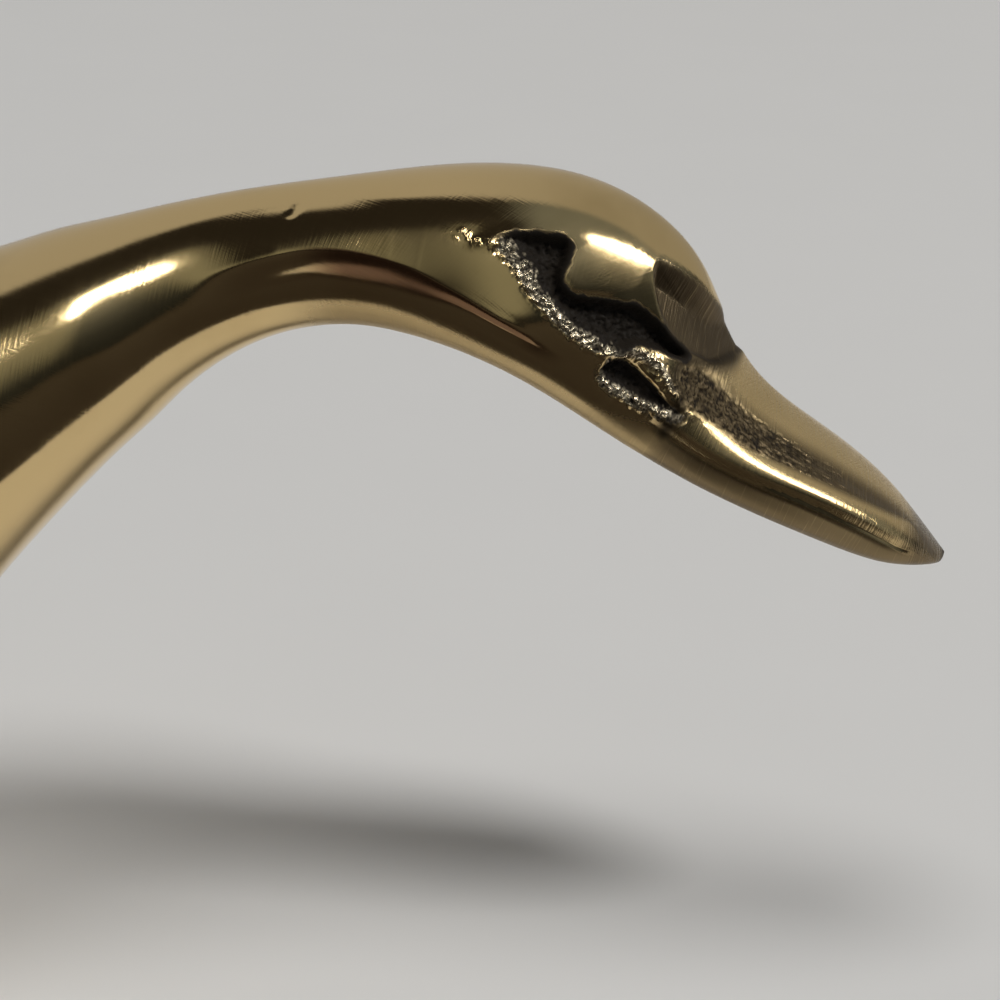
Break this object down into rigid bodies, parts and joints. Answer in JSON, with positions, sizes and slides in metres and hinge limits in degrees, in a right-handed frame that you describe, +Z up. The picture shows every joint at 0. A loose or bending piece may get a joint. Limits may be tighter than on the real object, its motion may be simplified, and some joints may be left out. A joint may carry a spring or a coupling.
{
  "type": "brass duck figurine",
  "caption": "Polished cast brass duck with a long forward neck and a low, down-turned bill; a hollow body with folded wings stands on a felt-covered flat foot.",
  "frame": {"origin": "on the table under the middle of the bird's length, on its plane of symmetry", "axes": "+X to the bill, +Y to the bird's left, +Z up"},
  "size_m": [0.1602, 0.0484, 0.0533],
  "materials": {
    "polished_brass": "hand-polished sand-cast brass with fine scratches and dark rough-cast pits",
    "braze_filler": "linished brazing filler, flush with the castings",
    "sheet_brass": "satin rolled sheet",
    "plated_steel": "zinc plated",
    "felt": "pressed wool felt"
  },
  "bodies": {
    "root": {"right_body_shell": "polished_brass", "left_body_shell": "polished_brass", "head_and_neck": "polished_brass", "back_seam_braze": "braze_filler", "breast_seam_braze": "braze_filler", "vent_seam_braze": "braze_filler", "neck_stud": "plated_steel", "neck_washer": "plated_steel", "neck_nut": "plated_steel", "tail_dowel": "plated_steel", "upper_neck_dowel": "plated_steel", "lower_neck_dowel": "plated_steel", "base_plate": "sheet_brass", "base_screw_1": "plated_steel", "base_screw_2": "plated_steel", "base_screw_3": "plated_steel", "base_screw_4": "plated_steel", "felt_pad": "felt"}
  },
  "joints": []
}
